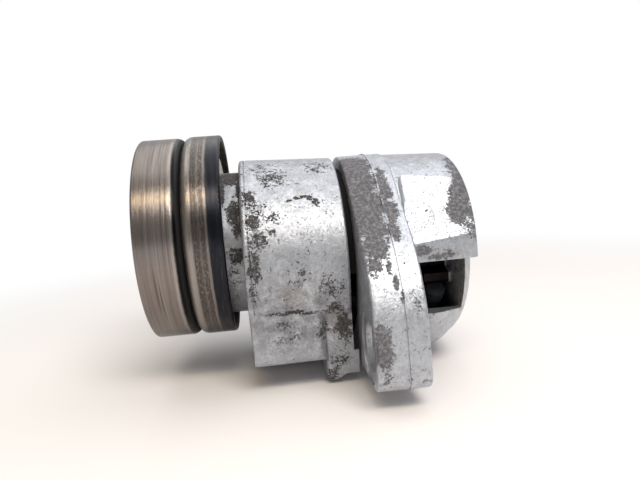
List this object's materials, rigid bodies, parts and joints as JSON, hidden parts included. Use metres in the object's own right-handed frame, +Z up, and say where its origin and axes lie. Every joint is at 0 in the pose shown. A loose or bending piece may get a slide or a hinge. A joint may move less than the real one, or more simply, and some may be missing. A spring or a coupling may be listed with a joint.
{
  "type": "belt tensioner with pulley",
  "caption": "Short arm belt tensioner: cast base with two bolt lugs, sprung cast arm and a smooth steel pulley on a ball bearing, set off the pivot.",
  "frame": {"origin": "midway between the two bolt holes, on the face that meets the engine", "axes": "+X along the pivot axis away from the pulley and into the engine side, +Z up from the bolt line towards the pivot, +Y across"},
  "size_m": [0.101, 0.1072, 0.0783],
  "materials": {
    "cast_aluminium": "rough as-cast, worn and grimy",
    "arm_aluminium": "rough as-cast, worn and grimy",
    "pulley_steel": "turned bright by the belt, paint left at the edges",
    "bearing_steel": "ground",
    "bolt_steel": "dull zinc",
    "pin_steel": "turned",
    "spring_steel": "dark oiled wire",
    "shield_steel": "satin black",
    "pale_plastic": "moulded",
    "bushing_plastic": "moulded",
    "friction_plastic": "moulded, worn",
    "seal_rubber": "satin"
  },
  "bodies": {
    "base": {"base_housing": "cast_aluminium", "pivot_bushing": "bushing_plastic", "damper_ring": "friction_plastic", "torsion_spring": "spring_steel", "thrust_washer": "bushing_plastic"},
    "arm": {"tensioner_arm": "arm_aluminium", "pivot_pin": "pin_steel", "retaining_washer": "pin_steel", "rear_dust_shield": "pale_plastic", "bearing_inner_ring": "bearing_steel", "front_dust_shield": "shield_steel", "pulley_bolt": "bolt_steel"},
    "pulley": {"pulley_front_shell": "pulley_steel", "pulley_rear_shell": "pulley_steel", "pulley_rivets": "bolt_steel", "bearing_outer_ring": "bearing_steel", "bearing_seal_front": "seal_rubber", "bearing_seal_rear": "seal_rubber"},
    "cage": {"bearing_cage": "bushing_plastic", "bearing_balls": "bearing_steel"}
  },
  "joints": [
    {"name": "arm_swing", "type": "hinge", "parent": "base", "child": "arm", "pos_m": [0, 0, 0.0202], "axis": [1, 0, 0], "range_deg": [0, 55], "stiffness_Nm_per_rad": 6, "springref_deg": -68.75, "deforming": ["torsion_spring"]},
    {"name": "pulley_spin", "type": "hinge", "parent": "arm", "child": "pulley", "pos_m": [-0.0636, 0, 0.0299], "axis": [1, 0, 0], "continuous": true},
    {"name": "cage_spin", "type": "hinge", "parent": "arm", "child": "cage", "pos_m": [-0.0636, 0, 0.0299], "axis": [1, 0, 0], "continuous": true}
  ],
  "couplings": [
    {"joint": "cage_spin", "follows": "pulley_spin", "ratio": 0.62}
  ]
}
